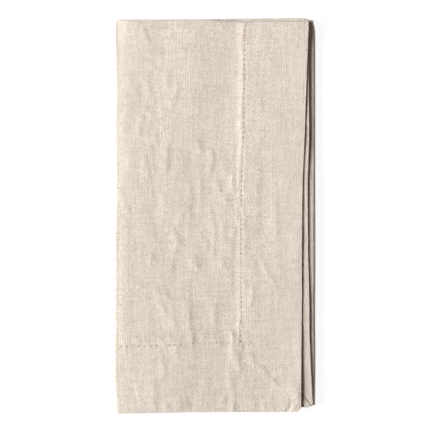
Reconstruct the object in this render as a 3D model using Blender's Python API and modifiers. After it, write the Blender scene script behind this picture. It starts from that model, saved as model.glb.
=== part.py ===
"""A linen placemat, 350 x 500 mm, folded in half and then in three, lying flat.

The mat starts as a flat grid: a column for each step across the cloth, a row for each step along
it. Every point then moves to its place in the folded stack, and Solidify gives the sheet its
thickness, so the whole mat stays one piece of cloth.

The two halves that meet at the top fold are the outer ply and the inner ply. They are folded in
three together: the base panel lies on the table, the tucked panel is turned in from the right
fold, and the top panel is turned over from the left fold and covers both.

Across is measured from the left fold to the right, and up from the bottom hem to the top fold.
All sizes are in metres. The origin is the centre of the underside.
"""

import math
from collections import namedtuple

import bpy
import numpy as np

NAME = "placemat_cloth"

FOLDED_WIDTH = 0.1285
FOLDED_HEIGHT = 0.2540

SHEET_THICKNESS = 0.0010
HEM_THICKNESS = 0.0012
LAYER_GAP = 0.0003

END_HEM = 0.0438  # the hem along the bottom of both plies
SIDE_HEM = 0.0387  # the hem along the free sides of the top and tucked panels
HEM_STEP = 0.0022  # over which the hem thins to the single sheet
CORNER_RADIUS = 0.0038  # the mitred corners of the hem

TOP_EDGE = 0.1215  # from the left fold to the free side of the top panel
TUCKED_EDGE = 0.0300  # from the left fold to the free side of the tucked panel
RAMP_START = 0.0070  # where the top panel starts to rise over the tucked one
RAMP_END = 0.0285  # where it is over it

FOLD_SEGMENTS = 8
TOP_FOLD_SEGMENTS = 6
CORNER_ANGLES = (0, 35, 62, 90)
PANEL_SPAN = 0.0080  # from column to column on the top and tucked panels
BASE_SPAN = 0.0160
PLY_SPAN = 0.0170  # from row to row
CLOSE_TO_FOLD = (0.0070, 0.0030)  # columns and rows this close to a fold round its corners

RIM_BEVEL = 0.0002

# Linear colour of the undyed linen.
LINEN_COLOUR = (0.723, 0.631, 0.546, 1.0)
LINEN_ROUGHNESS = 0.9

# Two plies, each a hem thick, and the gap between them: half of that is how far the right side
# of the cloth lies from the middle of the pair.
HALF_PAIR = HEM_THICKNESS + LAYER_GAP / 2
BASE_LEVEL = HALF_PAIR
TUCKED_LEVEL = BASE_LEVEL + 2 * HALF_PAIR + LAYER_GAP
TOP_LEVEL = TUCKED_LEVEL + 2 * HALF_PAIR + LAYER_GAP
FOLD_RADIUS = (TUCKED_LEVEL - BASE_LEVEL) / 2

# The folds' middles lie this far in from the outermost ply, so the panels are this wide.
FOLD_REACH = FOLD_RADIUS + HALF_PAIR
TOP_WIDTH = TOP_EDGE - FOLD_REACH
BASE_WIDTH = FOLDED_WIDTH - 2 * FOLD_REACH
TUCKED_WIDTH = FOLDED_WIDTH - FOLD_REACH - TUCKED_EDGE

# How high the top fold and the free ends of the two plies lie.
Ends = namedtuple("Ends", "across top_fold outer_end inner_end")
TOP_PANEL_ENDS = [
    Ends(0.0000, 0.2530, 0.0000, 0.0036),
    Ends(0.0290, 0.2529, 0.0006, 0.0038),
    Ends(0.0545, 0.2531, 0.0011, 0.0041),
    Ends(0.0675, 0.2523, 0.0012, 0.0042),
    Ends(0.0810, 0.2515, 0.0012, 0.0043),
    Ends(0.0930, 0.2519, 0.0012, 0.0043),
    Ends(0.1250, 0.2518, 0.0014, 0.0042),
]
LOWER_PANEL_ENDS = [
    Ends(0.0000, 0.2530, 0.0000, 0.0036),
    Ends(0.0480, 0.2529, 0.0020, 0.0046),
    Ends(0.0800, 0.2537, 0.0034, 0.0055),
    Ends(0.1190, 0.2540, 0.0052, 0.0066),
    Ends(0.1230, 0.2537, 0.0054, 0.0067),
    Ends(0.1257, 0.2527, 0.0055, 0.0068),
]

# Where the folds and the free side edges run, from the bottom to the top.
Sides = namedtuple("Sides", "up left_fold right_fold outer_side inner_side tucked_side")
SIDES = [
    Sides(0.0000, 0.0003, 0.1283, 0.1193, 0.1266, 0.0290),
    Sides(0.0220, -0.0007, 0.1285, 0.1193, 0.1259, 0.0293),
    Sides(0.0475, -0.0005, 0.1284, 0.1197, 0.1250, 0.0300),
    Sides(0.0730, -0.0003, 0.1285, 0.1200, 0.1247, 0.0305),
    Sides(0.0990, -0.0003, 0.1286, 0.1199, 0.1239, 0.0303),
    Sides(0.1500, -0.0001, 0.1285, 0.1203, 0.1236, 0.0298),
    Sides(0.1760, -0.0001, 0.1285, 0.1214, 0.1243, 0.0296),
    Sides(0.2140, 0.0000, 0.1285, 0.1228, 0.1242, 0.0300),
    Sides(0.2470, -0.0007, 0.1285, 0.1240, 0.1241, 0.0302),
    Sides(0.2510, -0.0005, 0.1281, 0.1241, 0.1241, 0.0302),
    Sides(0.2540, -0.0001, 0.1273, 0.1241, 0.1241, 0.0302),
]

# The middle of the folded mat, across, is the origin's.
MIDDLE_ACROSS = (min(side.left_fold for side in SIDES) + max(side.right_fold for side in SIDES)) / 2

# The soft swells of the top panel: each is a low mound, turned from upright by an angle.
Swell = namedtuple("Swell", "across up half_width half_length height degrees")
SWELLS = [
    Swell(0.046, 0.214, 0.016, 0.034, 0.0006, -10),
    Swell(0.096, 0.196, 0.018, 0.040, 0.0005, 8),
    Swell(0.034, 0.134, 0.013, 0.040, 0.0006, 14),
    Swell(0.073, 0.112, 0.012, 0.036, 0.0007, -6),
    Swell(0.104, 0.088, 0.013, 0.038, 0.0005, -12),
    Swell(0.042, 0.058, 0.014, 0.028, 0.0006, 12),
    Swell(0.080, 0.030, 0.016, 0.022, 0.0004, 24),
]

# A column's share runs from 0 at the start of its panel or fold to 1 at its end, and a row's
# from 0 at the free end of its ply to 1 at the top fold. A row's turn is 90 degrees on the
# outer ply and -90 on the inner one, and lies between them round the top fold.
Column = namedtuple("Column", "panel share hemmed")
Row = namedtuple("Row", "share turn hemmed")


def clear_scene():
    for old in list(bpy.data.objects):
        bpy.data.objects.remove(old, do_unlink=True)


def read_between(table, key, place, wanted):
    """One column of a table at a place between its rows."""
    places = [getattr(line, key) for line in table]
    values = [getattr(line, wanted) for line in table]
    return float(np.interp(place, places, values))


def even_steps(start, end, span):
    """Places from start to end, start left out, no further apart than span."""
    return list(np.linspace(start, end, math.ceil((end - start) / span) + 1)[1:])


def steps_to_fold(start, fold, span):
    """Even steps from start to the fold, start left out, with closer ones beside the fold."""
    close = [fold - before for before in CLOSE_TO_FOLD]
    return even_steps(start, close[0], span) + close[1:] + [fold]


def hem_and_rest(edge_places, hem, fold, span):
    """From the free edge, over the hem and its step, to the fold: each place, and if it is hem."""
    places = edge_places + even_steps(edge_places[-1], hem, span)
    rest = [hem + HEM_STEP] + steps_to_fold(hem + HEM_STEP, fold, span)
    return [(place, True) for place in places] + [(place, False) for place in rest]


def panel_columns(panel, width):
    """The columns of a panel with a free side, the first ones round the hem's corner."""
    corner = [CORNER_RADIUS * (1 - math.cos(math.radians(turn))) for turn in CORNER_ANGLES]
    places = hem_and_rest(corner, SIDE_HEM, width, PANEL_SPAN)
    return [Column(panel, place / width, hemmed) for place, hemmed in places]


def grid_columns():
    """From the free side of the tucked panel round both folds to that of the top panel."""
    turns = [step / FOLD_SEGMENTS for step in range(1, FOLD_SEGMENTS)]
    half_base = steps_to_fold(BASE_WIDTH / 2, BASE_WIDTH, BASE_SPAN)
    base = [BASE_WIDTH - place for place in half_base[::-1]] + [BASE_WIDTH / 2] + half_base
    return (
        panel_columns("tucked", TUCKED_WIDTH)
        + [Column("right fold", turn, False) for turn in turns]
        + [Column("base", place / BASE_WIDTH, False) for place in base]
        + [Column("left fold", turn, False) for turn in turns]
        + panel_columns("top", TOP_WIDTH)[::-1]
    )


def grid_rows():
    """From the free end of the outer ply over the top fold to that of the inner ply."""
    places = hem_and_rest([0.0], END_HEM, FOLDED_HEIGHT, PLY_SPAN)
    ply = [(place / FOLDED_HEIGHT, hemmed) for place, hemmed in places]
    turns = [90 - 180 * step / TOP_FOLD_SEGMENTS for step in range(1, TOP_FOLD_SEGMENTS)]
    return (
        [Row(share, 90, hem) for share, hem in ply]
        + [Row(1.0, turn, False) for turn in turns]
        + [Row(share, -90, hem) for share, hem in ply[::-1]]
    )


def nominal_across(column):
    """How far from the left fold a column lies, before the edges' unevenness."""
    return {
        "tucked": TUCKED_EDGE + column.share * TUCKED_WIDTH,
        "right fold": FOLDED_WIDTH - FOLD_REACH,
        "base": FOLDED_WIDTH - FOLD_REACH - column.share * BASE_WIDTH,
        "left fold": FOLD_REACH,
        "top": TOP_EDGE - column.share * TOP_WIDTH,
    }[column.panel]


def corner_rise(column):
    """How far a hem's rounded corner lifts the free end, close to a free side."""
    width = {"tucked": TUCKED_WIDTH, "top": TOP_WIDTH}.get(column.panel)
    if width is None:
        return 0.0
    reach = max(CORNER_RADIUS - column.share * width, 0.0)
    return CORNER_RADIUS - math.sqrt(CORNER_RADIUS**2 - reach**2)


def right_side_offset(column, row):
    """From the middle of the two plies to the right side of the cloth. The hem stands out on the
    right side of the top and tucked panels, and on the wrong side of the flat base."""
    single = not (column.hemmed or row.hemmed)
    if single and column.panel in ("top", "tucked") and column.share < 1:
        return HALF_PAIR - (HEM_THICKNESS - SHEET_THICKNESS)
    return HALF_PAIR


def height_up(column, row, offset):
    """How far up a point lies, from its ply's free end and the top fold."""
    table = TOP_PANEL_ENDS if column.panel in ("top", "left fold") else LOWER_PANEL_ENDS
    across = nominal_across(column)
    ply_end = "outer_end" if row.turn > 0 else "inner_end"
    end = read_between(table, "across", across, ply_end) + corner_rise(column)
    top = read_between(table, "across", across, "top_fold") - offset
    return end + (top - end) * row.share + offset * math.cos(math.radians(row.turn))


def swell_height(across, up):
    """How far the swells lift the top panel."""
    height = 0.0
    for swell in SWELLS:
        turn = math.radians(swell.degrees)
        right, along = across - swell.across, up - swell.up
        sideways = (right * math.cos(turn) + along * math.sin(turn)) / swell.half_width
        lengthways = (along * math.cos(turn) - right * math.sin(turn)) / swell.half_length
        height += swell.height * math.exp(-(sideways**2) - lengthways**2)
    return height


def top_level(across, up):
    """The middle of the top panel's two plies: it rises from the left fold over the tucked one."""
    climb = min(max((across - RAMP_START) / (RAMP_END - RAMP_START), 0.0), 1.0)
    climb = climb * climb * (3 - 2 * climb)
    rise = climb * (TOP_LEVEL - TUCKED_LEVEL)
    return TUCKED_LEVEL + rise + climb * swell_height(across, up)


def middle_of_pair(column, row, up):
    """Where the middle of the two plies lies, and the way that the right side of the outer ply
    faces there, both as across and level."""
    along = row.share * FOLDED_HEIGHT
    left = read_between(SIDES, "up", along, "left_fold") + FOLD_REACH
    right = read_between(SIDES, "up", along, "right_fold") - FOLD_REACH
    if column.panel == "tucked":
        side = read_between(SIDES, "up", along, "tucked_side")
        return (side + (right - side) * column.share, TUCKED_LEVEL), (0.0, 1.0)
    if column.panel == "base":
        return (right + (left - right) * column.share, BASE_LEVEL), (0.0, -1.0)
    if column.panel == "top":
        ply_side = "outer_side" if row.turn > 0 else "inner_side"
        side = read_between(SIDES, "up", along, ply_side)
        across = side + (left - side) * column.share
        return (across, top_level(across, up)), (0.0, 1.0)
    centre = right if column.panel == "right fold" else left
    start = math.pi / 2 if column.panel == "right fold" else -math.pi / 2
    facing = (math.cos(start - math.pi * column.share), math.sin(start - math.pi * column.share))
    level = (BASE_LEVEL + TUCKED_LEVEL) / 2
    return (centre + FOLD_RADIUS * facing[0], level + FOLD_RADIUS * facing[1]), facing


def folded_place(column, row):
    """Where the point of the flat grid at this column and row lies in the folded mat."""
    offset = right_side_offset(column, row)
    up = height_up(column, row, offset)
    middle, facing = middle_of_pair(column, row, up)
    reach = offset * math.sin(math.radians(row.turn))
    across = middle[0] + reach * facing[0]
    return across - MIDDLE_ACROSS, up - FOLDED_HEIGHT / 2, middle[1] + reach * facing[1]


def linen():
    material = bpy.data.materials.new("linen")
    material.use_nodes = True
    shader = material.node_tree.nodes["Principled BSDF"]
    shader.inputs["Base Color"].default_value = LINEN_COLOUR
    shader.inputs["Roughness"].default_value = LINEN_ROUGHNESS
    shader.inputs["Metallic"].default_value = 0.0
    return material


def build_cloth(collection):
    """The flat grid, folded, thickened towards the wrong side, with its rim softened."""
    columns = grid_columns()
    rows = grid_rows()
    column_spans = len(columns) - 1
    row_spans = len(rows) - 1
    bpy.ops.mesh.primitive_grid_add(x_subdivisions=column_spans, y_subdivisions=row_spans, size=2)
    cloth = bpy.context.object
    cloth.name = NAME
    cloth.data.name = NAME
    for other in list(cloth.users_collection):
        other.objects.unlink(cloth)
    collection.objects.link(cloth)

    thickness = cloth.vertex_groups.new(name="thickness")
    for vertex in cloth.data.vertices:
        column = columns[round((vertex.co.x + 1) / 2 * column_spans)]
        row = rows[round((vertex.co.y + 1) / 2 * row_spans)]
        vertex.co = folded_place(column, row)
        hemmed = column.hemmed or row.hemmed
        share = 1.0 if hemmed else SHEET_THICKNESS / HEM_THICKNESS
        thickness.add([vertex.index], share, "REPLACE")
    cloth.data.shade_smooth()

    solidify = cloth.modifiers.new("thickness", "SOLIDIFY")
    solidify.thickness = HEM_THICKNESS
    solidify.vertex_group = thickness.name
    solidify.offset = -1
    solidify.use_even_offset = True
    solidify.use_quality_normals = True

    rim = cloth.modifiers.new("rim", "BEVEL")
    rim.width = RIM_BEVEL
    rim.segments = 1
    rim.limit_method = "ANGLE"
    rim.angle_limit = math.radians(60)

    cloth.data.materials.append(linen())


def main():
    clear_scene()
    collection = bpy.data.collections.new("folded_placemat")
    bpy.context.scene.collection.children.link(collection)
    build_cloth(collection)


main()
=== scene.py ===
# A linen placemat, folded in half and then in three, lying on a pale surface.
# Metres, +Z up. "Across" runs from the left fold to the right fold, and "up" from the bottom hem
# to the top fold. The cloth is laid out flat, folded with the sizes of its solid in the frame,
# then creased, thickened and sewn, and its weave follows the flat cloth.

import math
from collections import namedtuple

import bpy
import numpy as np
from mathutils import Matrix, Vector, noise


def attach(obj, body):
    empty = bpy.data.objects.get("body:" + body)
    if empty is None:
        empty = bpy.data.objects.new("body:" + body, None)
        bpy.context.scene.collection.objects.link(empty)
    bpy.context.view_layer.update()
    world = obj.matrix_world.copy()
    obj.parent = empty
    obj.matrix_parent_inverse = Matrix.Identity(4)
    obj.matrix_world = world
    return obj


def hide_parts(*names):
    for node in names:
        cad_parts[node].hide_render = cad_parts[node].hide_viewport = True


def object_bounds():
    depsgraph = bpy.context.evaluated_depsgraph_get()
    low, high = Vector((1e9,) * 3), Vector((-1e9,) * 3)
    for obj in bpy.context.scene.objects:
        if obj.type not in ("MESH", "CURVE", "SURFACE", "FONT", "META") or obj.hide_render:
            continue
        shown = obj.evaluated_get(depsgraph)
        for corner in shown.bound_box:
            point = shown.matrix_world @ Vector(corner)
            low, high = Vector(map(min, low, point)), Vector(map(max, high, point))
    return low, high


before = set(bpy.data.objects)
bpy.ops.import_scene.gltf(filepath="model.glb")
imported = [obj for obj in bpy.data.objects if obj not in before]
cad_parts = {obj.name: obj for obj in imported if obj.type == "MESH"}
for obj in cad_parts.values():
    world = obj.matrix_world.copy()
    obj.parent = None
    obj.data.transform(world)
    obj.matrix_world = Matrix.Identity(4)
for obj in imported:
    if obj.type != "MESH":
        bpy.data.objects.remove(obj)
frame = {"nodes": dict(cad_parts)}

clothNode = "placemat_cloth"
solidLow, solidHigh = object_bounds()
print("frame loaded:", ", ".join(frame["nodes"]))


# How the mat is folded
fold = {
    "width": 0.1285,  # of the folded mat
    "height": 0.2540,
    "rightSide": 0.00135,  # from the middle of two plies to the right side of the cloth
    "panelGap": 0.0003,
    "topEdge": 0.1215,  # from the left fold to the free side of the top panel
    "tuckedEdge": 0.0300,  # and to that of the tucked panel
    "roundness": 0.68,  # of the side folds, which are pressed: their depth to their half height
    "leftOut": 0.0005,  # how far the left fold stands out past its line
    "rightOut": 0.0004,
    "topOut": 0.0003,
    "innerCorner": 0.5,  # height of the inner ply's rounded corners to the outer ply's
    "sideSteps": 10,  # round each side fold
    "topSteps": 8,  # round the top fold
}

# How high the top fold and the free ends of the two plies lie
topPanelEnds = {
    "across": [0.0000, 0.0290, 0.0545, 0.0675, 0.0810, 0.0930, 0.1250],
    "topFold": [0.2530, 0.2529, 0.2531, 0.2523, 0.2515, 0.2519, 0.2518],
    "outerEnd": [0.0000, 0.0006, 0.0011, 0.0012, 0.0012, 0.0012, 0.0014],
    "innerEnd": [0.0036, 0.0038, 0.0041, 0.0042, 0.0043, 0.0043, 0.0042],
}
lowerPanelEnds = {
    "across": [0.0000, 0.0480, 0.0800, 0.1190, 0.1230, 0.1257],
    "topFold": [0.2530, 0.2529, 0.2537, 0.2540, 0.2537, 0.2527],
    "outerEnd": [0.0000, 0.0020, 0.0034, 0.0052, 0.0054, 0.0055],
    "innerEnd": [0.0036, 0.0046, 0.0055, 0.0066, 0.0067, 0.0068],
}

# Where the folds and the free side edges run, from the bottom to the top
sides = {
    "up": [0.0, 0.022, 0.0475, 0.073, 0.099, 0.150, 0.176, 0.214, 0.247, 0.251, 0.254],
    "leftFold": [
        0.0003, -0.0007, -0.0005, -0.0003, -0.0003, -0.0001, -0.0001, 0.0, -0.0007, -0.0005, -0.0001
    ],
    "rightFold": [
        0.1283, 0.1285, 0.1284, 0.1285, 0.1286, 0.1285, 0.1285, 0.1285, 0.1285, 0.1281, 0.1273
    ],
    "outerSide": [
        0.1194, 0.1195, 0.1197, 0.1200, 0.1199, 0.1204, 0.1216, 0.1228, 0.1240, 0.1241, 0.1241
    ],
    "innerSide": [
        0.1269, 0.1258, 0.1248, 0.1247, 0.1239, 0.1236, 0.1246, 0.1244, 0.1241, 0.1241, 0.1241
    ],
    "tuckedSide": [
        0.0290, 0.0293, 0.0300, 0.0305, 0.0303, 0.0298, 0.0296, 0.0300, 0.0302, 0.0302, 0.0302
    ],
    # Rise of the tucked panel at the right fold
    "rightRise": [
        0.0002, 0.0003, 0.0004, 0.0008, 0.0011, 0.0008, 0.0003, 0.0003, 0.0004, 0.0004, 0.0004
    ],
}

panelStep = 2 * fold["rightSide"] + fold["panelGap"]
baseLevel = fold["rightSide"]
tuckedLevel = baseLevel + panelStep
foldRadius = panelStep / 2
foldReach = foldRadius + fold["rightSide"]
foldDepth = foldReach * fold["roundness"]
panelWidths = {
    "tucked": fold["width"] - foldReach - fold["tuckedEdge"],
    "rightFold": math.pi * foldRadius,
    "base": fold["width"] - 2 * foldReach,
    "leftFold": math.pi * foldRadius,
    "top": fold["topEdge"] - foldReach,
}
panelStarts = dict(zip(panelWidths, np.cumsum([0.0] + list(panelWidths.values())[:-1])))
flatWidth = sum(panelWidths.values())
flatLength = 2 * fold["height"] + math.pi * fold["rightSide"]
middleAcross = (min(sides["leftFold"]) + max(sides["rightFold"])) / 2

cloth = {
    "name": "linen_mat",
    "single": 0.00045,  # thickness of one layer of linen
    "hem": 0.00075,  # of the turned hem
    "sideHem": 0.0389,  # from the free sides to the sewing
    "endHem": 0.0436,  # from the free ends to the sewing
    "cornerRadius": 0.0038,
    "topCorner": (0, 20, 38, 54, 68, 80, 90),  # degrees, of the columns round its corners
    "tuckedCorner": (0, 35, 62, 90),
    "topSpans": (0.00112, 0.00138),  # steps of the grid, across and along, on the top panel
    "tuckedSpan": 0.0075,
    "baseSpan": 0.0080,
    "innerSpan": 0.0090,
    "hemSpan": 0.0030,  # along the inner ply's hem
    "sewingSpan": 0.0008,  # beside the sewing
    "sewingSteps": (-1, 5),  # of that span, from the hem to the single cloth
    "beforeFold": (0.007, 0.003),  # the last columns or rows before a fold
    "rimWidth": 0.00042,
    "rimSegments": 3,
    "rimAngle": 60,
}


def smooth(place, low, high):
    share = np.clip((place - low) / (high - low), 0.0, 1.0)
    return share * share * (3 - 2 * share)


def between(table, key, place, wanted):
    return np.interp(place, table[key], table[wanted])


def spaced(start, end, span):
    return list(np.linspace(start, end, math.ceil((end - start) / span) + 1)[1:])


def edgeToFold(first, sewing, width, span, hemSpan):
    # From the places at the free edge over the hem and its sewing to the fold
    step = cloth["sewingSpan"]
    low, high = cloth["sewingSteps"]
    places = first + spaced(first[-1], sewing + (low - 1) * step, hemSpan)
    places += [sewing + count * step for count in range(low, high)]
    for before in cloth["beforeFold"] + (0.0,):
        places += spaced(places[-1], width - before, span)
    return places


Column = namedtuple("Column", "panel share flat")


def panelColumns(panel, turns, span):
    # Close together round the corner, and then evenly to the fold
    width = panelWidths[panel]
    corner = [cloth["cornerRadius"] * (1 - math.cos(math.radians(turn))) for turn in turns]
    places = edgeToFold(corner, cloth["sideHem"], width, span, span)
    flatPlaces = places if panel == "tucked" else [flatWidth - place for place in places]
    return [Column(panel, place / width, flat) for place, flat in zip(places, flatPlaces)]


def foldColumns(panel):
    shares = [step / fold["sideSteps"] for step in range(1, fold["sideSteps"])]
    start, width = panelStarts[panel], panelWidths[panel]
    return [Column(panel, share, start + share * width) for share in shares]


def baseColumns():
    width = panelWidths["base"]
    first, second = cloth["beforeFold"]
    half = spaced(width / 2, width - first, cloth["baseSpan"]) + [width - second, width]
    places = [width - place for place in half[::-1]] + [width / 2] + half
    return [Column("base", place / width, panelStarts["base"] + place) for place in places]


# From the free side of the tucked panel round both side folds to that of the top panel
columns = (
    panelColumns("tucked", cloth["tuckedCorner"], cloth["tuckedSpan"])
    + foldColumns("rightFold")
    + baseColumns()
    + foldColumns("leftFold")
    + panelColumns("top", cloth["topCorner"], cloth["topSpans"][0])[::-1]
)

# From the free end of the outer ply over the top fold to that of the inner ply
alongSpan = cloth["topSpans"][1]
outerRows = edgeToFold([0.0], cloth["endHem"], fold["height"], alongSpan, alongSpan)
innerRows = edgeToFold(
    [0.0], cloth["endHem"], fold["height"], cloth["innerSpan"], cloth["hemSpan"]
)[::-1]
topTurns = [math.pi / 2 - math.pi * step / fold["topSteps"] for step in range(1, fold["topSteps"])]
rowShares = np.array(
    [place / fold["height"] for place in outerRows]
    + [1.0] * len(topTurns)
    + [place / fold["height"] for place in innerRows]
)
rowTurns = np.array(
    [math.pi / 2] * len(outerRows) + topTurns + [-math.pi / 2] * len(innerRows)
)
rowFlats = np.array(
    outerRows
    + [fold["height"] + (math.pi / 2 - turn) * fold["rightSide"] for turn in topTurns]
    + [flatLength - place for place in innerRows]
)
columnFlats = np.array([column.flat for column in columns])
outerPly = rowTurns > 0


# Soft swells of the top panel: low mounds, turned from upright by an angle
Swell = namedtuple("Swell", "across up halfWidth halfLength height degrees")
swells = [
    Swell(0.052, 0.225, 0.015, 0.042, 0.0010, -6),
    Swell(0.096, 0.196, 0.018, 0.040, 0.0005, 8),
    Swell(0.042, 0.136, 0.013, 0.042, 0.0006, 12),
    Swell(0.073, 0.112, 0.012, 0.036, 0.0007, -6),
    Swell(0.104, 0.088, 0.013, 0.038, 0.0005, -12),
    Swell(0.042, 0.058, 0.014, 0.028, 0.0006, 12),
    Swell(0.080, 0.030, 0.016, 0.022, 0.0004, 24),
    Swell(0.038, 0.012, 0.016, 0.026, 0.0006, 0),
]

# How the top panel rises, and from where to where across the mat or up it
rise = {
    "left": 0.0007,  # at the left fold
    "outer": 0.00195,  # of the outer ply where it lies on the tucked panel
    "inner": 0.00285,  # and of the inner ply
    "climb": 0.0045,  # how quickly that rise comes
    "outerSide": 0.00050,  # further rise to the free side
    "outerSideAcross": (0.085, 0.124),
    "innerSide": 0.00065,
    "innerSideAcross": (0.090, 0.124),
    "corner": 0.0008,  # of the outer ply's corner
    "cornerAcross": (0.100, 0.124),
    "cornerUp": (0.015, 0.060),
    "dip": 0.0003,  # of the inner ply's corner, down to its free side
    "dipAcross": (0.116, 0.127),
    "dipUp": (0.030, 0.070),
    "meetingUp": (0.232, 0.248),  # where the two plies come together below the top fold
    "hem": 0.00044,  # of the whole panel over its hem
    "hemInside": (-0.0004, 0.0056),  # inside the sewing
    "startAcross": (0.004, 0.030),  # of the rise over the hem, and of the swells
    "tuckedAcross": (0.080, 0.118),  # of the tucked panel's rise to the right fold
    "foldShare": (0.45, 1.0),  # of a side fold, over which it takes up its upper panel's rise
}

hem = {
    "singleDrop": 0.00026,  # from the hem to the single cloth
    "singleInside": (0.0008, 0.0050),  # where, inside the sewing
    "endEase": 0.5,  # slope of that step at the ends to the sides' slope
    "bandRise": 0.00010,  # where the turning lies in the hem
    "bandInside": (-0.0135, -0.0105),
    "sewingDent": 0.00016,
    "sewingHalf": 0.0007,
    "mitreDent": 0.00010,
    "mitreHalf": 0.0009,
    "mitreFade": 0.002,
    "drift": 0.0020,  # of the end's sewing, towards the corner of the top panel
    "driftSide": (-0.100, -0.050),  # where, from the free side of the top panel
}

# Width, length, height and seed of the unevenness of the cloth
ripple = {
    "fine": (0.0022, 0.0085, 0.000034, 3.1),
    "patches": (0.0120, 0.0180, 0.9, 4.6),  # where the fine ripples are higher or lower
    "broad": (0.0085, 0.0230, 0.000120, 5.3),
    "gather": (0.0017, 0.0060, 0.000130, 21.5),  # beside the sewing
    "wander": (0.0060, 0.0050, 0.0006, 11.2),  # of the creases' lines
    "fading": (0.0050, 0.0055, 0.45, 13.9),  # of their height
    "edge": (0.0500, 0.0220, 0.00030, 9.4),  # lift of the free sides, here and there
    "gatherReach": 0.0055,
    "edgeReach": 0.007,
    "edgeEnd": 0.020,
    "leastPatch": 0.1,
    "onHem": 0.9,  # share of the fine ripples on the doubled cloth
    "onFolds": 0.3,
}

# The room that layers leave each other
room = {
    "facedRise": 0.00003,  # most that a ply rises towards the panel that it lies on
    "foldedIn": 0.00005,  # how far the inner ply keeps back in the side folds
    "downwards": -0.9,  # a side that faces lower than this faces down
}

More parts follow.
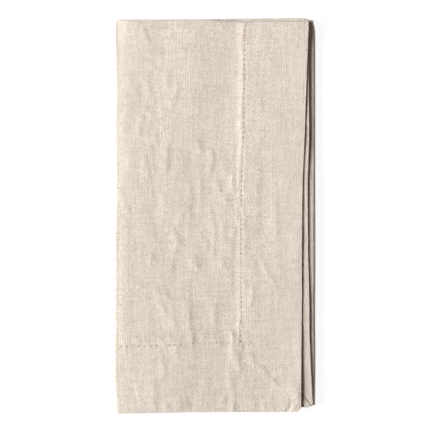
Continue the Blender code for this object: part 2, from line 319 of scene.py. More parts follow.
# Creases of the top panel, in millimetres from the left fold and the bottom hem, each from its
# top to its bottom. The cloth falls or rises steeply along the line and eases off beside it.
# The width is that of the steep side, and ease is how many times as wide the other one is. A
# crease of negative height is a trough.
Crease = namedtuple("Crease", "slope height width line ease", defaults=(2.6,))
millimetre = 0.001
creasing = {
    "strength": 1.15,
    "aside": 0.7,  # from the line to the top of the crease, in steep widths
    "fade": 0.0035,  # at the ends of a crease
    "fadeShare": 0.45,  # the most of a short crease's length that it takes
}
creases = [
    Crease("falls", 0.33, 1.3, [(18.5, 249.5), (20.5, 244), (23, 236)]),
    Crease("falls", 0.20, 1.1, [(22.8, 233), (23, 229)]),
    Crease("falls", 0.28, 1.2, [(23.7, 226), (26.3, 221.5)]),
    Crease("falls", 0.33, 1.2, [(23, 219.5), (21.2, 215.5), (22.5, 211.5), (23.7, 204.5)]),
    Crease("falls", 0.30, 1.1, [(34.6, 219.5), (34, 214), (34.6, 209)]),
    Crease("falls", 0.19, 1.2, [(10.3, 217.5), (11.5, 210.5)]),
    Crease("falls", 0.25, 1.1, [(14, 210), (15.4, 202)]),
    Crease("falls", 0.30, 1.2, [(11.5, 198), (9, 193.7)]),
    Crease("falls", 0.42, 1.2, [(17.3, 193), (19.8, 185.5)]),
    Crease("falls", 0.46, 1.3, [(17.2, 187), (16.7, 177.5)]),
    Crease("falls", 0.20, 1.2, [(20.5, 197.5), (23.7, 190.5)]),
    Crease("falls", 0.25, 1.2, [(7.7, 185), (8.3, 178.3)]),
    Crease("falls", 0.25, 1.3, [(37.2, 248.5), (35.9, 238.5)]),
    Crease("falls", 0.33, 1.3, [(48, 251.5), (45.5, 245)]),
    Crease("falls", 0.30, 1.2, [(46.2, 235), (44.3, 229.5)]),
    Crease("falls", 0.22, 1.1, [(40.4, 217), (41, 208), (38.5, 202.5), (37.8, 197)]),
    Crease("falls", 0.19, 1.2, [(36.6, 184), (37.8, 174)]),
    Crease("falls", 0.22, 1.2, [(30.8, 233), (30.2, 226)]),
    Crease("falls", 0.19, 1.2, [(27.6, 179), (27.6, 172)]),
    Crease("falls", 0.20, 1.2, [(11.5, 168), (10.3, 157)]),
    Crease("falls", 0.33, 1.1, [(24.4, 173), (25.6, 163.5)]),
    Crease("falls", 0.22, 1.1, [(25.7, 160.5), (25.7, 155)]),
    Crease("falls", 0.38, 1.3, [(20, 167), (21.2, 160.5)]),
    Crease("falls", 0.33, 1.1, [(34, 172.5), (34, 165.5), (33.7, 156)]),
    Crease("falls", 0.22, 1.3, [(21.8, 159.5), (23, 148)]),
    Crease("falls", 0.22, 1.3, [(4.5, 145.5), (5.2, 136)]),
    Crease("falls", 0.22, 1.2, [(24.4, 144.5), (25.7, 138)]),
    Crease("falls", 0.20, 1.2, [(32.7, 141), (34, 133.5)]),
    Crease("falls", 0.22, 1.3, [(9.6, 134), (10.9, 125.5)]),
    Crease("falls", 0.31, 1.2, [(49.4, 150), (50, 137.5), (48, 133), (48, 128)]),
    Crease("falls", 0.22, 1.2, [(55.8, 152), (55.6, 137), (56, 128)]),
    Crease("falls", 0.43, 1.6, [(54.5, 175.8), (57, 167)]),
    Crease("falls", 0.39, 1.3, [(63, 170), (63.5, 163), (63.3, 154.5)]),
    Crease("falls", 0.22, 1.1, [(44.3, 129.5), (43, 122.5)]),
    Crease("rises", 0.28, 1.1, [(46.2, 129), (46.2, 113.5)]),
    Crease("falls", 0.36, 1.4, [(36.6, 122.5), (39, 117), (41, 111.5), (44.3, 106.5)]),
    Crease("falls", 0.33, 1.1, [(39.8, 111.5), (40.4, 100.5)]),
    Crease(
        "falls", 0.25, 1.1, [(61, 134), (63.5, 125.5), (65.3, 120.5), (64.8, 108), (63.5, 100.5)]
    ),
    Crease("falls", 0.33, 1.1, [(60.3, 112.5), (59.7, 103)]),
    Crease("falls", 0.33, 1.2, [(66, 151), (68.6, 141.5)]),
    Crease("falls", 0.35, 1.3, [(72.5, 142), (73, 134)]),
    Crease("falls", 0.35, 1.3, [(72.4, 163), (71.8, 152)]),
    Crease("falls", 0.33, 1.1, [(77, 172.5), (77, 165)]),
    Crease("falls", 0.35, 1.1, [(77, 156), (76.8, 142)]),
    Crease("falls", 0.30, 1.2, [(77, 121), (76.3, 104.5)]),
    Crease("falls", 0.28, 1.2, [(71.2, 122), (71.8, 107)]),
    Crease("falls", 0.28, 1.2, [(18, 109.5), (17.3, 95.5)]),
    Crease("falls", 0.33, 1.2, [(24.4, 103.5), (23.7, 97)]),
    Crease("falls", 0.33, 1.3, [(51.3, 102), (54, 92.5)]),
    Crease("falls", 0.28, 1.1, [(37.8, 100.5), (37.8, 88.5)]),
    Crease("falls", 0.25, 1.2, [(9.6, 93), (9.6, 85.5)]),
    Crease("falls", 0.33, 1.1, [(28.9, 81), (30.8, 71), (34, 62)]),
    Crease("falls", 0.39, 1.1, [(32.7, 81.5), (34, 72.5)]),
    Crease("falls", 0.17, 1.2, [(48.6, 72), (48.9, 60)]),
    Crease("falls", 0.27, 1.2, [(48.8, 62), (49.2, 56), (50.7, 50.5), (50, 41)]),
    Crease("rises", 0.28, 1.1, [(47.4, 54), (48, 46)]),
    Crease("falls", 0.27, 1.2, [(64.8, 73), (64.8, 54.5)]),
    Crease("falls", 0.25, 1.1, [(37.8, 63), (41.7, 55)]),
    Crease("falls", 0.30, 1.1, [(14.6, 49), (16.6, 45)]),
    Crease("falls", 0.33, 1.1, [(32, 49), (32, 43), (27.6, 37.8)]),
    Crease("rises", 0.30, 1.1, [(40.4, 45), (36.6, 38)]),
    Crease("falls", 0.35, 1.1, [(59.7, 52.5), (58.4, 47)]),
    Crease("falls", 0.40, 1.3, [(69.3, 49.5), (68, 40.5)]),
    Crease("falls", 0.25, 1.4, [(32, 38.5), (32.2, 23.5)]),
    Crease("falls", 0.25, 1.4, [(26.3, 20), (25.7, 1.5)]),
    Crease("falls", 0.39, 1.4, [(43, 10.5), (43, 2)]),
    Crease("falls", 0.35, 1.6, [(46.8, 9), (48.8, 2.5)]),
    Crease("falls", 0.25, 1.3, [(60.3, 23.5), (59.7, 13)]),
    Crease("falls", 0.33, 1.1, [(34.6, 7), (35.3, 1.5)]),
    Crease("falls", 0.25, 1.1, [(75.7, 91), (75.7, 73)]),
    Crease("falls", 0.40, 1.4, [(72.5, 99.5), (69.3, 92.5)]),
    Crease("falls", 0.10, 1.8, [(92.4, 179.5), (93, 137), (92.4, 127), (90.5, 118), (88, 110)]),
    Crease("falls", 0.26, 1.5, [(88.5, 102), (90.5, 94), (91, 87)]),
    Crease("falls", 0.26, 1.5, [(90.5, 81.5), (89.2, 73), (87.2, 62)]),
    Crease("rises", 0.26, 1.1, [(91, 102), (94.3, 93.7), (99.4, 86.5), (104, 79.5), (104.6, 72.5)]),
    Crease("falls", 0.18, 0.9, [(102.6, 161.5), (104, 142), (104.6, 111.5)]),
    Crease("falls", 0.33, 1.1, [(75.7, 54), (77.6, 45.5)]),
    Crease("rises", 0.27, 1.2, [(73, 54), (73.8, 43.5), (72.5, 34)]),
    Crease("falls", 0.36, 1.4, [(80.2, 49.5), (80.8, 41.5)]),
    Crease("falls", 0.25, 1.3, [(80.2, 41.5), (80.8, 25.5)]),
    Crease("falls", 0.33, 1.3, [(88, 41), (90, 34), (95, 30), (102.6, 21.2), (107.8, 16.7)]),
    Crease("rises", 0.28, 1.1, [(71.8, 30), (72.5, 18.5), (74.4, 9), (75, 1.5)]),
    Crease("falls", 0.28, 1.2, [(71.2, 13), (71.2, 4.5)]),
    Crease("falls", 0.30, 1.2, [(77, 7), (77.6, 1.5)]),
    Crease("rises", 0.33, 1.2, [(100, 14.8), (95, 11), (93.7, 2)]),
    Crease("falls", 0.22, 1.2, [(91, 11), (90.5, 2)]),
    Crease("falls", 0.28, 1.4, [(100.7, 12), (102.6, 2)]),
    Crease("falls", 0.55, 1.2, [(117.0, 18.0), (117.9, 14.0), (117.6, 9.5)]),
    Crease("rises", -0.90, 0.6, [(114.2, 8.2), (112.2, 5.4), (108.4, 1.0), (106.8, -1.5)], 3.6),
    Crease("falls", 0.16, 1.2, [(118.3, 9.5), (117.3, 5.5), (115.4, 2.4), (113.0, 0.4)]),
]


def swellHeight(across, up):
    height = 0.0
    for swell in swells:
        turn = math.radians(swell.degrees)
        right, along = across - swell.across, up - swell.up
        sideways = (right * math.cos(turn) + along * math.sin(turn)) / swell.halfWidth
        lengthways = (along * math.cos(turn) - right * math.sin(turn)) / swell.halfLength
        height = height + swell.height * np.exp(-(sideways**2) - lengthways**2)
    return height


def topRise(across, up):
    # The top panel rises from the left fold over the tucked panel, quickly at first, then over
    # its own hem, and towards its free side. Its outer ply settles on the inner one.
    climb = 1 - np.exp(-np.maximum(across - foldDepth, 0.0) / rise["climb"])
    outer = climb * (rise["outer"] - rise["left"])
    outer = outer + rise["outerSide"] * smooth(across, *rise["outerSideAcross"])
    lift = rise["corner"] * smooth(across, *rise["cornerAcross"])
    outer = outer + lift * (1 - smooth(up, *rise["cornerUp"]))
    inner = climb * (rise["inner"] - rise["left"])
    inner = inner + rise["innerSide"] * smooth(across, *rise["innerSideAcross"])
    dip = rise["dip"] * smooth(across, *rise["dipAcross"])
    inner = inner - dip * (1 - smooth(up, *rise["dipUp"]))
    onOuter = (1 + np.sin(rowTurns)) / 2 * (1 - smooth(up, *rise["meetingUp"]))
    aboveEnd = (up - cloth["endHem"]) * hem["endEase"]
    inside = np.minimum(fold["topEdge"] - across - cloth["sideHem"], aboveEnd)
    overHem = rise["hem"] * (1 - smooth(inside, *rise["hemInside"]))
    overHem = (overHem + swellHeight(across, up)) * smooth(across, *rise["startAcross"])
    return rise["left"] + inner + (outer - inner) * onOuter + overHem


def tuckedRise(across, up):
    return between(sides, "up", up, "rightRise") * smooth(across, *rise["tuckedAcross"])


def nominalAcross(column):
    # Where a column would lie if the folds and the free sides ran straight
    share = column.share
    return {
        "tucked": fold["tuckedEdge"] + share * panelWidths["tucked"],
        "rightFold": fold["width"] - foldReach,
        "base": fold["width"] - foldReach - share * panelWidths["base"],
        "leftFold": foldReach,
        "top": fold["topEdge"] - share * panelWidths["top"],
    }[column.panel]


def cornerRise(column):
    # How much higher a column's free end lies, because the hem's corner is rounded
    if column.panel not in ("tucked", "top"):
        return 0.0
    radius = cloth["cornerRadius"]
    reach = max(radius - column.share * panelWidths[column.panel], 0.0)
    return radius - math.sqrt(radius**2 - reach**2)


def foldColumn(column):
    # The places of a column's points on the right side of the cloth, and the way that side faces
    offset = fold["rightSide"]
    table = topPanelEnds if column.panel in ("top", "leftFold") else lowerPanelEnds
    level = nominalAcross(column)
    ends = [between(table, "across", level, ply) for ply in ("outerEnd", "innerEnd")]
    end = np.where(outerPly, ends[0], ends[1])
    end = end + cornerRise(column) * np.where(outerPly, 1.0, fold["innerCorner"])
    top = between(table, "across", level, "topFold") - offset
    up = end + (top - end) * rowShares + (offset + fold["topOut"]) * np.cos(rowTurns)

    along = rowShares * fold["height"]
    left = between(sides, "up", along, "leftFold") - fold["leftOut"] + foldDepth
    right = between(sides, "up", along, "rightFold") + fold["rightOut"] - foldDepth
    facing = (0.0, 1.0)
    if column.panel == "tucked":
        side = between(sides, "up", along, "tuckedSide")
        across = side + (right - side) * column.share
        height = tuckedLevel + tuckedRise(across, up)
    elif column.panel == "base":
        across, height = right + (left - right) * column.share, baseLevel
        facing = (0.0, -1.0)
    elif column.panel == "top":
        plies = [between(sides, "up", along, ply) for ply in ("outerSide", "innerSide")]
        side = np.where(outerPly, plies[0], plies[1])
        across = side + (left - side) * column.share
        height = tuckedLevel + topRise(across, up)
    else:
        centre, start = (right, 1) if column.panel == "rightFold" else (left, -1)
        turn = start * math.pi / 2 - math.pi * column.share
        facing = (math.cos(turn), math.sin(turn))
        across = centre + foldRadius * facing[0] * fold["roundness"]
        height = (baseLevel + tuckedLevel) / 2 + foldRadius * facing[1]
        if column.panel == "leftFold":
            height = height + smooth(column.share, *rise["foldShare"]) * topRise(across, up)
        else:
            height = height + smooth(1 - column.share, *rise["foldShare"]) * tuckedRise(across, up)

    normal = np.stack(
        [facing[0] * np.sin(rowTurns), np.cos(rowTurns), facing[1] * np.sin(rowTurns)], axis=1
    )
    middle = np.stack([across, up, np.zeros_like(up) + height], axis=1)
    middle[:, 0] += offset * normal[:, 0] * fold["roundness"]
    middle[:, 2] += offset * normal[:, 2]
    return middle, normal


def creaseHeight(crease, across, up):
    places = np.array(crease.line[::-1]) * millimetre
    low, high = places[0, 1], places[-1, 1]
    fade = min(creasing["fade"], (high - low) * creasing["fadeShare"])
    shown = smooth(up, low - fade / 2, low + fade) * (1 - smooth(up, high - fade, high + fade / 2))
    steep = crease.width * millimetre
    away = 1 if crease.slope == "rises" else -1
    line = np.interp(up, places[:, 1], places[:, 0])
    aside = (across - line) * away - creasing["aside"] * steep
    width = np.where(aside < 0, steep, steep * crease.ease)
    height = creasing["strength"] * crease.height * millimetre
    return height * shown * np.exp(-((aside / width) ** 2))


def rippleHeight(across, up, name):
    width, length, height, seed = ripple[name]
    places = zip((across / width).ravel(), (up / length).ravel())
    values = [noise.noise(Vector((x, y, seed))) for x, y in places]
    return height * 2 * np.array(values).reshape(across.shape)


def hemRelief(fromSide, fromEnd):
    # The right side of the cloth dips from the hem to the single layer, and along the sewing
    pastSide, pastEnd = fromSide - cloth["sideHem"], fromEnd - cloth["endHem"]
    inside = np.minimum(pastSide, pastEnd)
    single = smooth(np.minimum(pastSide, pastEnd * hem["endEase"]), *hem["singleInside"])
    band = smooth(inside, *hem["bandInside"]) * (1 - single)
    dent = np.exp(-((inside / hem["sewingHalf"]) ** 2))
    diagonal = math.hypot(cloth["sideHem"], cloth["endHem"])
    mitre = (fromSide * cloth["endHem"] - fromEnd * cloth["sideHem"]) / diagonal
    beforeSide = 1 - smooth(pastSide, -hem["mitreFade"], 0.0)
    beforeEnd = 1 - smooth(pastEnd, -hem["mitreFade"], 0.0)
    seam = beforeSide * beforeEnd * np.exp(-((mitre / hem["mitreHalf"]) ** 2))
    relief = hem["bandRise"] * band - hem["singleDrop"] * single - hem["sewingDent"] * dent
    return relief - hem["mitreDent"] * seam, single


driftStart, driftEnd = (flatWidth + place for place in hem["driftSide"])


def endDrift(flatAcross):
    return hem["drift"] * smooth(flatAcross, driftStart, driftEnd)


print("folding the cloth")
folded = [foldColumn(column) for column in columns]
surface = np.array([places for places, normals in folded])
facings = np.array([normals for places, normals in folded])
flatAcross, flatUp = np.meshgrid(columnFlats, rowFlats, indexing="ij")
fromSide = np.minimum(flatAcross, flatWidth - flatAcross)
fromEnd = np.minimum(flatUp - endDrift(flatAcross), flatLength - flatUp)
relief, single = hemRelief(fromSide, fromEnd)

onHem = ripple["onHem"] + (1 - ripple["onHem"]) * single
patches = np.maximum(1 + rippleHeight(flatAcross, flatUp, "patches"), ripple["leastPatch"])
relief = relief + onHem * patches * rippleHeight(flatAcross, flatUp, "fine")

panels = np.array([column.panel for column in columns])
onTop = (panels == "top")[:, None] & outerPly[None, :]
across, up = surface[..., 0], surface[..., 1]
relief[onTop] += rippleHeight(across[onTop], up[onTop], "broad")
inside = np.minimum(fromSide - cloth["sideHem"], fromEnd - cloth["endHem"])[onTop]
gathered = np.exp(-((inside / ripple["gatherReach"]) ** 2))
relief[onTop] += gathered * rippleHeight(across[onTop], up[onTop], "gather")
wander = rippleHeight(across[onTop], up[onTop], "wander")
fading = 1 + rippleHeight(across[onTop], up[onTop], "fading")
for crease in creases:
    relief[onTop] += fading * creaseHeight(crease, across[onTop] + wander, up[onTop])
freeEdge = (panels == "top")[:, None] & (fromSide < ripple["edgeEnd"])
edge = np.exp(-((fromSide[freeEdge] / ripple["edgeReach"]) ** 2))
relief[freeEdge] += edge * np.abs(rippleHeight(fromSide[freeEdge], up[freeEdge], "edge"))

# The folds stay calm, and where a layer faces another or the floor it keeps to its own room
roundFold = np.array([
    math.sin(math.pi * column.share) if column.panel.endswith("Fold") else 0.0 for column in columns
])
calm = (1 - ripple["onFolds"]) * np.maximum(roundFold[:, None], np.cos(rowTurns)[None, :])
relief *= 1 - calm
roundOutside = (roundFold > 0)[:, None] & outerPly[None, :]
faced = ~(onTop | roundOutside)
relief[faced] = np.minimum(relief[faced], room["facedRise"])
facesDown = facings[..., 2] < room["downwards"]
below = faced & facesDown
relief[below] = np.maximum(relief[below], -room["facedRise"])
inFold = (roundFold > 0)[:, None] & ~outerPly[None, :]
relief[inFold] = np.minimum(relief[inFold], -room["foldedIn"])
onFloor = facesDown & outerPly[None, :]
relief[onFloor] = np.minimum(relief[onFloor], 0.0)

surface = surface + facings * relief[..., None]
surface[..., 0] -= middleAcross
surface[..., 1] -= fold["height"] / 2


def select(*chosen):
    bpy.ops.object.select_all(action="DESELECT")
    for piece in chosen:
        piece.select_set(True)
    bpy.context.view_layer.objects.active = chosen[0]


def applyModifiers(piece):
    select(piece)
    for modifier in list(piece.modifiers):
        bpy.ops.object.modifier_apply(modifier=modifier.name)


def makeCloth():
    # A flat grid is laid on the folded surface, then gets its thickness and a rounded rim
    columnSpans, rowSpans = len(columns) - 1, len(rowFlats) - 1
    bpy.ops.object.select_all(action="DESELECT")
    bpy.ops.mesh.primitive_grid_add(x_subdivisions=columnSpans, y_subdivisions=rowSpans, size=2)
    piece = bpy.context.object
    piece.name = piece.data.name = cloth["name"]
    mesh = piece.data

    flat = np.empty(len(mesh.vertices) * 3, np.float32)
    mesh.vertices.foreach_get("co", flat)
    flat = flat.reshape(-1, 3)
    column = np.rint((flat[:, 0] + 1) / 2 * columnSpans).astype(int)
    row = np.rint((flat[:, 1] + 1) / 2 * rowSpans).astype(int)
    mesh.vertices.foreach_set("co", surface[column, row].astype(np.float32).ravel())

    # The flat cloth is the UV map, in metres, so that the weave and the sewing follow the folds
    corners = np.empty(len(mesh.loops), np.int32)
    mesh.loops.foreach_get("vertex_index", corners)
    flatPlaces = np.stack([columnFlats[column], rowFlats[row]], axis=1)[corners]
    mesh.uv_layers[0].name = "flatCloth"
    mesh.uv_layers[0].data.foreach_set("uv", flatPlaces.astype(np.float32).ravel())

    thickest = cloth["hem"]
    thick = cloth["hem"] + (cloth["single"] - cloth["hem"]) * single
    group = piece.vertex_groups.new(name="thickness")
    for index, value in enumerate(thick[column, row] / thickest):
        group.add([index], float(value), "REPLACE")

    wall = piece.modifiers.new("thickness", "SOLIDIFY")
    wall.thickness = thickest
    wall.vertex_group = group.name
    wall.offset = -1
    wall.use_even_offset = True
    wall.use_quality_normals = True
    applyModifiers(piece)
    wrong = mesh.attributes.new("wrongSide", "FLOAT", "POINT")  # 1 on the points of that side
    shell = np.arange(len(mesh.vertices)) >= len(column)
    wrong.data.foreach_set("value", shell.astype(np.float32))

    rim = piece.modifiers.new("rim", "BEVEL")
    rim.width = cloth["rimWidth"]
    rim.segments = cloth["rimSegments"]
    rim.limit_method = "ANGLE"
    rim.angle_limit = math.radians(cloth["rimAngle"])
    applyModifiers(piece)
    piece.vertex_groups.clear()
    piece.data.shade_smooth()
    return piece


mat = makeCloth()
print("cloth:", len(mat.data.polygons), "faces")


sewing = {
    "name": "hem_sewing",
    "sidePitch": 0.00315,
    "endPitch": 0.0038,
    "gap": 0.0008,  # between two stitches, where the needle went in
    "width": 0.00042,
    "height": 0.00030,
    "sunk": 0.00003,
    "jitter": 0.00010,
    "turn": 0.06,  # either way, in radians
    "seed": 12,
    "segments": 8,
    "rings": 6,
}


def onCloth(flatPlaces):
    # Places and facings of the cloth's right side for an array of flat places
    column = np.interp(flatPlaces[:, 0], columnFlats, np.arange(len(columnFlats)))
    row = np.interp(flatPlaces[:, 1], rowFlats, np.arange(len(rowFlats)))
    first = np.minimum(column.astype(int), len(columnFlats) - 2)
    below = np.minimum(row.astype(int), len(rowFlats) - 2)
    right, above = (column - first)[:, None], (row - below)[:, None]
    found = []
    for grid in (surface, facings):
        lower = grid[first, below] * (1 - right) + grid[first + 1, below] * right
        upper = grid[first, below + 1] * (1 - right) + grid[first + 1, below + 1] * right
        found.append(lower * (1 - above) + upper * above)
    return found


def stitchesAlong(start, end, pitch):
    # The middle of each stitch of a straight line of sewing, and the line's direction
    start, end = Vector(start), Vector(end)
    count = int((end - start).length / pitch)
    step = (end - start) / count
    return [start + step * (index + 0.5) for index in range(count)], step


def sewn(lines):
    # One stitch is modelled flat, copied along the lines, joined, and laid on the folded cloth
    rng = np.random.default_rng(sewing["seed"])
    bpy.ops.object.select_all(action="DESELECT")
    bpy.ops.mesh.primitive_uv_sphere_add(
        segments=sewing["segments"], ring_count=sewing["rings"], radius=0.5
    )
    stitch = bpy.context.object
    bpy.ops.object.mode_set(mode="EDIT")
    bpy.ops.mesh.select_all(action="SELECT")
    bpy.ops.transform.rotate(value=math.pi / 2, orient_axis="X", center_override=(0, 0, 0))
    bpy.ops.object.mode_set(mode="OBJECT")
    copies = []
    for (start, end), pitch in lines:
        places, step = stitchesAlong(start, end, pitch)
        turn = math.atan2(-step.x, step.y)
        length = step.length - sewing["gap"] * pitch / sewing["endPitch"]
        for place in places:
            place.y += endDrift(place.x) if step.y == 0 else 0.0
            copy = stitch.copy()
            copy.data = stitch.data.copy()
            bpy.context.collection.objects.link(copy)
            aside = rng.uniform(-1, 1, 2) * sewing["jitter"]
            copy.location = (place.x + aside[0], place.y + aside[1], 0)
            copy.rotation_euler = (0, 0, turn + rng.uniform(-sewing["turn"], sewing["turn"]))
            copy.scale = (sewing["width"], length, sewing["height"])
            copies.append(copy)
    bpy.data.objects.remove(stitch, do_unlink=True)
    select(*copies)
    bpy.ops.object.transform_apply(location=True, rotation=True, scale=True)
    bpy.ops.object.join()
    piece = bpy.context.object
    piece.name = piece.data.name = sewing["name"]

    flat = np.empty(len(piece.data.vertices) * 3, np.float32)
    piece.data.vertices.foreach_get("co", flat)
    flat = flat.reshape(-1, 3)
    places, normals = onCloth(flat[:, :2])
    places = places + normals * (flat[:, 2:] - sewing["sunk"])
    places[:, 2] = np.maximum(places[:, 2], 0.0)  # pressed flat under the mat
    piece.data.vertices.foreach_set("co", places.astype(np.float32).ravel())
    piece.data.update()
    piece.data.shade_smooth()
    return piece


sideLine, endLine = cloth["sideHem"], cloth["endHem"]
farSide, farEnd = flatWidth - sideLine, flatLength - endLine
hemSewing = sewn([
    (((farSide, endLine), (farSide, farEnd)), sewing["sidePitch"]),
    (((sideLine, endLine), (farSide, endLine)), sewing["endPitch"]),
    (((sideLine, endLine), (sideLine, farEnd)), sewing["sidePitch"]),
])
print("sewing:", len(hemSewing.data.polygons), "faces")


class Value:
    # A socket that Python can do sums with
    def __init__(self, finish, socket):
        self.finish = finish
        self.socket = socket

    def sum(self, operation, *others):
        return self.finish.maths(operation, self, *others)

    def __add__(self, other):
        return self.sum("ADD", other)

    def __sub__(self, other):
        return self.sum("SUBTRACT", other)

    def __rsub__(self, other):
        return self.finish.maths("SUBTRACT", other, self)

    def __mul__(self, other):
        return self.sum("MULTIPLY", other)

    def __truediv__(self, other):
        return self.sum("DIVIDE", other)

    def __pow__(self, other):
        return self.sum("POWER", other)

    __radd__ = __add__
    __rmul__ = __mul__


class Finish:
    def __init__(self, name):
        self.material = bpy.data.materials.new(name)
        self.material.use_nodes = True
        self.tree = self.material.node_tree
        self.shader = self.tree.nodes["Principled BSDF"]

    def plug(self, socket, value):
        if isinstance(value, Value):
            self.tree.links.new(value.socket, socket)
        else:
            socket.default_value = value

    def node(self, kind, settings=None, inputs=None, output=0):
        made = self.tree.nodes.new(kind)
        for name, value in (settings or {}).items():
            setattr(made, name, value)
        for name, value in (inputs or {}).items():
            self.plug(made.inputs[name], value)
        return Value(self, made.outputs[output])

    def maths(self, operation, *values):
        return self.node("ShaderNodeMath", {"operation": operation}, dict(enumerate(values)))

    def point(self, x, y, z=0.0):
        return self.node("ShaderNodeCombineXYZ", inputs={"X": x, "Y": y, "Z": z})

    def noise(self, place, scale=1.0, detail=0.0, roughness=0.5):
        # Centred on nought, about -1 to 1
        made = self.node(
            "ShaderNodeTexNoise",
            {"noise_dimensions": "3D"},
            {"Vector": place, "Scale": scale, "Detail": detail, "Roughness": roughness},
        )
        return (made - 0.5) * 3.0

    def wave(self, x, y, size, **detail):
        width, length, seed, amount = size
        return self.noise(self.point(x / width, y / length, seed), **detail) * amount

    def ramp(self, value, low, high, start=0.0, end=1.0):
        return self.node(
            "ShaderNodeMapRange",
            {"interpolation_type": "SMOOTHSTEP"},
            {"Value": value, "From Min": low, "From Max": high, "To Min": start, "To Max": end},
        )

    def mixColour(self, share, first, second):
        # The node's sockets for colours come after those for numbers and vectors
        made = self.tree.nodes.new("ShaderNodeMix")
        made.data_type = "RGBA"
        for index, value in ((0, share), (6, first), (7, second)):
            self.plug(made.inputs[index], value)
        return Value(self, made.outputs[2])

    def bump(self, height, distance, strength=1.0):
        inputs = {"Height": height, "Distance": distance, "Strength": strength}
        return self.node("ShaderNodeBump", inputs=inputs)

    def surface(self, **inputs):
        for name, value in inputs.items():
            self.plug(self.shader.inputs[name.replace("_", " ")], value)
        return self.material


linen = {
    "dark": (0.430, 0.325, 0.236, 1.0),
    "light": (0.955, 0.905, 0.850, 1.0),
    "shade": (0.150, 0.105, 0.070, 1.0),  # in the needle's holes and the seams
    "warpPitch": 0.000675,
    "weftPitch": 0.000765,
    # Width, length, seed and amount: how far the yarns stray from even spacing, in yarns
    "warpStray": ((0.0055, 0.034, 0.0, 0.7), (0.045, 0.120, 3.0, 3.0)),
    "weftStray": ((0.024, 0.0046, 4.0, 0.7), (0.110, 0.040, 9.0, 2.5)),
    # and the patches and the broad clouds of its tone
    "mottle": (0.0045, 0.011, 2.0, 0.02),
    "cloud": (0.028, 0.060, 6.0, 0.01),
    "overStep": (-0.35, 0.35),  # of the crossing, from weft to warp on top
    "crownStep": (0.0, 0.45),  # from between the yarns to their crowns
    "warpStreak": 0.020,  # how far a yarn keeps its tone
    "weftStreak": 0.012,
    "warpRoughness": 0.62,
    "slubLength": 0.012,
    "slubStep": (0.62, 1.2),
    "fibres": 1.9,  # tufts of fibre to a yarn
    "pairSharpness": 5.0,
    "yarnHeight": 0.00010,
    "bumpStrength": 0.8,
    "roughness": 0.96,
    "crownGloss": 0.08,
    "sheen": 0.06,
}

# How much each feature lightens the linen, or darkens it
tones = {
    "middle": 0.60,
    "warp": 0.11,
    "warpOver": 0.07,  # more where the warp lies on top
    "weft": 0.12,
    "weftUnder": 0.05,  # less there
    "slub": 0.12,
    # partly the yarns' own tones, partly painted light and shade: crossings with the warp on top
    # lighter, those with the weft on top darker
    "over": 0.42,
    "pairLine": 0.22,  # painted shade, darker in the gap between two warp yarns
    "knot": 0.22,
    "fibre": 0.42,
    "between": 0.10,  # painted shade, darker between the yarns
}

# And how much it raises it
heights = {"crown": 0.6, "over": 0.25, "warp": 0.25, "weft": 0.12, "shade": 1.5}

holes = {
    "radius": 0.00048,
    "edge": (0.5, 1.35),  # in radii
    "patch": 0.0045,  # over which the holes are deeper or shallower
    "patchStep": (-0.6, 0.5),
    "depth": (0.25, 1.0),
    "start": (-0.0006, -0.0002),  # before the corner of the sewing
    "shade": 0.9,
}

seam = {
    "slope": 1.45,  # of the corner's seam, on the wrong side
    "half": 0.00022,
    "edge": (0.6, 1.8),  # in halves
    "end": 0.0010,
    "shade": 0.85,
}


def weave(finish, x, y):
    # The yarns: warp runs along the cloth, weft across it, neither quite evenly spaced
    warp, weft = x / linen["warpPitch"], y / linen["weftPitch"]
    for stray in linen["warpStray"]:
        warp = warp + finish.wave(x, y, stray)
    for stray in linen["weftStray"]:
        weft = weft + finish.wave(x, y, stray)
    warpYarn, weftYarn = finish.maths("FLOOR", warp), finish.maths("FLOOR", weft)
    crossing = finish.maths("SINE", warp * math.pi) * finish.maths("SINE", weft * math.pi)
    warpOver = finish.ramp(crossing, *linen["overStep"])
    crown = finish.ramp(finish.maths("ABSOLUTE", crossing), *linen["crownStep"])

    # Each yarn has its own tone, which changes slowly along it, and now and then a slub. The
    # numbers that the yarns are multiplied by keep their tones apart.
    warpTone = finish.noise(
        finish.point(warpYarn * 5.31, y / linen["warpStreak"], 1.7),
        detail=3.0,
        roughness=linen["warpRoughness"],
    )
    weftTone = finish.noise(finish.point(x / linen["weftStreak"], weftYarn * 4.73, 8.2), detail=1.0)
    slubs = finish.noise(finish.point(warpYarn * 3.17, y / linen["slubLength"], 12.0))
    slub = finish.ramp(slubs, *linen["slubStep"])
    crossingPoint = finish.point(warpYarn, weftYarn)
    knot = finish.node("ShaderNodeTexWhiteNoise", inputs={"Vector": crossingPoint})
    tuft = finish.point(
        finish.maths("FLOOR", warp * linen["fibres"]), finish.maths("FLOOR", weft * linen["fibres"])
    )
    fibre = finish.node("ShaderNodeTexWhiteNoise", inputs={"Vector": tuft})
    # Painted shade in the gap after every second warp yarn
    pairLine = (finish.maths("COSINE", warp * math.pi) * 0.5 + 0.5) ** linen["pairSharpness"]

    tone = tones["middle"] + warpTone * (tones["warp"] + warpOver * tones["warpOver"])
    tone = tone + weftTone * (tones["weft"] - warpOver * tones["weftUnder"])
    # Painted light and shade on the crossings, with some of the yarns' own tone: lighter where the
    # warp lies on top
    tone = tone + slub * tones["slub"] + (warpOver - 0.5) * tones["over"]
    tone = tone - pairLine * tones["pairLine"] + (knot - 0.5) * tones["knot"]
    # Painted shade between the yarns, away from their crowns
    tone = tone + (fibre - 0.5) * tones["fibre"] - (1.0 - crown) * tones["between"]
    tone = tone + finish.wave(x, y, linen["mottle"], detail=2.0)
    tone = tone + finish.wave(x, y, linen["cloud"], detail=1.0)
    height = crown * heights["crown"] + warpOver * heights["over"]
    height = height + warpTone * heights["warp"] + weftTone * heights["weft"]
    return tone, height, crown


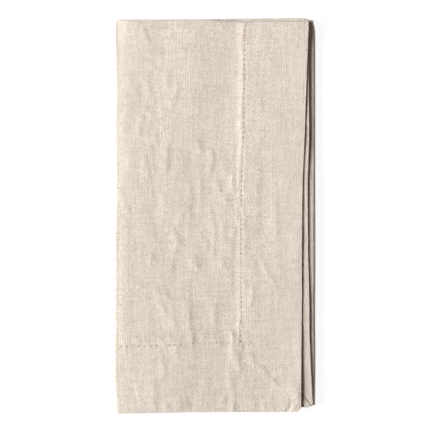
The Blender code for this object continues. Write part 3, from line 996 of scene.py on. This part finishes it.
def needleHoles(finish, x, y, fromSide, fromEnd):
    # The needle's holes, between the stitches
    patch = finish.noise(finish.point(x / holes["patch"], y / holes["patch"], 17.0))
    depth = finish.ramp(patch, *holes["patchStep"], *holes["depth"])
    low, high = (share * holes["radius"] for share in holes["edge"])
    found = None
    for aside, along, near, far, pitch, length in (
        (fromSide - sideLine, fromEnd, y, endLine, sewing["sidePitch"], flatLength - 2 * endLine),
        (fromEnd - endLine, fromSide, x, sideLine, sewing["endPitch"], flatWidth - 2 * sideLine),
    ):
        even = length / int(length / pitch)
        phase = finish.maths("FRACT", (near - far) / even + 0.5) - 0.5
        distance = finish.maths("SQRT", aside * aside + (phase * even) ** 2.0)
        dot = finish.ramp(distance, low, high, 1.0, 0.0)
        dot = dot * finish.ramp(along, far + holes["start"][0], far + holes["start"][1])
        found = dot if found is None else finish.maths("MAXIMUM", found, dot)
    return found * depth


def cornerSeam(finish, fromSide, fromEnd):
    # The seam of the hem's corner, on the wrong side
    wrong = finish.node("ShaderNodeAttribute", {"attribute_name": "wrongSide"}, output="Fac")
    radius = cloth["cornerRadius"]
    reach = finish.maths("MAXIMUM", radius - fromSide, 0.0)
    rounding = radius - finish.maths("SQRT", radius * radius - reach * reach)
    cornerUp = fromEnd + rounding * fold["innerCorner"]
    aside = (cornerUp - fromSide * seam["slope"]) / math.hypot(1, seam["slope"])
    low, high = (share * seam["half"] for share in seam["edge"])
    line = finish.ramp(finish.maths("ABSOLUTE", aside), low, high, 1.0, 0.0)
    return line * wrong * finish.ramp(fromSide, sideLine - seam["end"], sideLine, 1.0, 0.0)


def linenFinish():
    finish = Finish("linen")
    flat = finish.node("ShaderNodeUVMap", {"uv_map": "flatCloth"})
    split = finish.tree.nodes.new("ShaderNodeSeparateXYZ")
    finish.plug(split.inputs[0], flat)
    x, y = Value(finish, split.outputs["X"]), Value(finish, split.outputs["Y"])
    fromSide = finish.maths("MINIMUM", x, flatWidth - x)
    drift = finish.ramp(x, driftStart, driftEnd, 0.0, hem["drift"])
    fromEnd = finish.maths("MINIMUM", y - drift, flatLength - y)

    tone, height, crown = weave(finish, x, y)
    hole = needleHoles(finish, x, y, fromSide, fromEnd) * holes["shade"]
    shade = finish.maths("MAXIMUM", hole, cornerSeam(finish, fromSide, fromEnd) * seam["shade"])
    colour = finish.mixColour(tone, linen["dark"], linen["light"])
    colour = finish.mixColour(shade, colour, linen["shade"])
    relief = height - shade * heights["shade"]
    return finish.surface(
        Base_Color=colour,
        Roughness=linen["roughness"] - crown * linen["crownGloss"],
        Normal=finish.bump(relief, linen["yarnHeight"], linen["bumpStrength"]),
        Sheen_Weight=linen["sheen"],
    )


thread = {
    "dark": (0.62, 0.52, 0.43, 1.0),
    "light": (0.88, 0.79, 0.69, 1.0),
    "fibreScale": 2600.0,
    "fibreTone": 0.25,
    "fibreHeight": 0.00004,
    "roughness": 0.75,
    "fibreRoughness": 0.05,
}


def threadFinish():
    finish = Finish("sewing_thread")
    place = finish.node("ShaderNodeTexCoord", output="Object")
    fibres = finish.noise(place, scale=thread["fibreScale"], detail=1.0)
    tone = 0.5 + fibres * thread["fibreTone"]
    return finish.surface(
        Base_Color=finish.mixColour(tone, thread["dark"], thread["light"]),
        Roughness=thread["roughness"] + fibres * thread["fibreRoughness"],
        Normal=finish.bump(fibres, thread["fibreHeight"]),
    )


mat.data.materials.append(linenFinish())
hemSewing.data.materials.append(threadFinish())
print("materials done")


studio = {
    "floorSize": 4.0,
    "floorDrop": 0.00005,
    "floorColour": (0.10, 0.10, 0.10, 1.0),
    "floorRoughness": 0.9,
    "floorGlow": 0.92,
    "glowColour": (1.0, 1.0, 1.0, 1.0),
    "lightPlace": (-3.765, 0.26, 3.28),
    "lightAim": (0.62, 0.66, 0.0),
    "lightSpread": 44.0,  # degrees
    "lightSize": 3.4,
    "lightPower": 55.6,
    "lightColour": (1.0, 1.0, 1.0),
    "ambient": 0.09,
    "ambientColour": (1.0, 0.84, 0.68, 1.0),
    "lens": 200.0,
    "sensor": 36.0,
    "cameraDistance": 1.5325,
    "cameraAim": (0.0002, 0.00066, 0.0087),
    "farthest": 10.0,
}


def makeStage():
    bpy.ops.object.select_all(action="DESELECT")
    bpy.ops.mesh.primitive_plane_add(
        size=studio["floorSize"], location=(0, 0, solidLow.z - studio["floorDrop"])
    )
    floor = bpy.context.object
    floor.name = "pale_floor"
    finish = Finish("pale_floor")
    floor.data.materials.append(
        finish.surface(
            Base_Color=studio["floorColour"],
            Roughness=studio["floorRoughness"],
            Emission_Color=studio["glowColour"],
            Emission_Strength=studio["floorGlow"],
        )
    )

    bpy.ops.object.light_add(type="AREA", location=studio["lightPlace"])
    light = bpy.context.object
    light.data.shape = "DISK"
    light.data.size = studio["lightSize"]
    light.data.energy = studio["lightPower"]
    light.data.spread = math.radians(studio["lightSpread"])
    light.data.color = studio["lightColour"]
    ray = Vector(studio["lightAim"]) - Vector(studio["lightPlace"])
    light.rotation_euler = ray.to_track_quat("-Z", "Y").to_euler()

    world = bpy.data.worlds.new("studio")
    bpy.context.scene.world = world
    world.use_nodes = True
    background = world.node_tree.nodes["Background"]
    background.inputs["Color"].default_value = studio["ambientColour"]
    background.inputs["Strength"].default_value = studio["ambient"]

    aim = Vector(studio["cameraAim"])
    bpy.ops.object.camera_add(location=aim + Vector((0, 0, studio["cameraDistance"])))
    camera = bpy.context.object
    camera.rotation_euler = (0, 0, 0)  # straight down
    camera.data.lens = studio["lens"]
    camera.data.sensor_width = studio["sensor"]
    camera.data.clip_end = studio["farthest"]
    bpy.context.scene.camera = camera
    bpy.context.scene.view_settings.view_transform = "Standard"
    return floor


floor = makeStage()
print("stage done")

for piece in (mat, hemSewing):
    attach(piece, "root")
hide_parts(clothNode)
